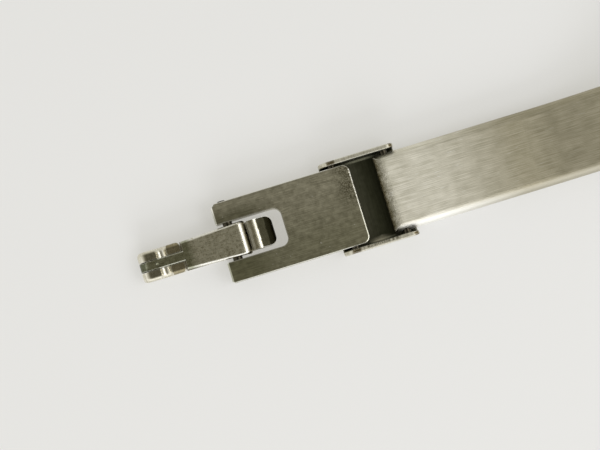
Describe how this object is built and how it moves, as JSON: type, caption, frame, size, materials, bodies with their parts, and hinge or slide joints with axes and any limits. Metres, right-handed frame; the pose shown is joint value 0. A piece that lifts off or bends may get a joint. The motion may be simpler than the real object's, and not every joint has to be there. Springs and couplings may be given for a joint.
{
  "type": "watch bracelet half",
  "caption": "Half of a narrow steel watch bracelet: bent arm with spring bar, short channel link, slotted fork plate and fold-over clasp.",
  "frame": {"origin": "middle of the bridge link's outer face, which lies on the table at z = 0", "axes": "+X along the band towards the watch case, +Y across the band, +Z from the outer side to the wrist side"},
  "size_m": [0.064, 0.0096, 0.0142],
  "materials": {
    "band_steel": "brushed along its length, warm grey",
    "link_steel": "satin, bent sheet",
    "plate_steel": "brushed along its length, with bright worn edges",
    "clasp_steel": "satin, with bright worn edges",
    "pin_steel": "turned and bright"
  },
  "bodies": {
    "arm": {"band_arm": "band_steel", "spring_bar_tube": "pin_steel", "spring_bar_spring": "pin_steel"},
    "link": {"bridge_link": "link_steel", "arm_hinge_pin": "pin_steel", "plate_hinge_pin": "pin_steel"},
    "plate": {"fork_plate": "plate_steel", "fork_bar": "pin_steel"},
    "clasp": {"clasp_base": "clasp_steel", "clasp_pin": "pin_steel"},
    "cover": {"clasp_cover": "clasp_steel"},
    "tip_left": {"spring_bar_tip_left": "pin_steel"},
    "tip_right": {"spring_bar_tip_right": "pin_steel"}
  },
  "joints": [
    {"name": "arm_hinge", "type": "hinge", "parent": "arm", "child": "link", "pos_m": [0.0028, 0, 0.00125], "axis": [0, 1, 0], "range_deg": [0, 40]},
    {"name": "plate_hinge", "type": "hinge", "parent": "link", "child": "plate", "pos_m": [-0.0026, 0, 0.00125], "axis": [0, 1, 0], "range_deg": [0, 30]},
    {"name": "clasp_pivot", "type": "hinge", "parent": "plate", "child": "clasp", "pos_m": [-0.0143, 0, 0.001], "axis": [0, 1, 0], "range_deg": [-75, 75]},
    {"name": "cover_hinge", "type": "hinge", "parent": "clasp", "child": "cover", "pos_m": [-0.023, 0, 0.001], "axis": [0, -1, 0], "range_deg": [0, 165]},
    {"name": "tip_left_slide", "type": "slide", "parent": "arm", "child": "tip_left", "axis": [0, -1, 0], "range_m": [0, 0.0008], "stiffness_N_per_m": 400, "deforming": ["spring_bar_spring"]},
    {"name": "tip_right_slide", "type": "slide", "parent": "arm", "child": "tip_right", "axis": [0, 1, 0], "range_m": [0, 0.0008], "stiffness_N_per_m": 400, "deforming": ["spring_bar_spring"]}
  ]
}
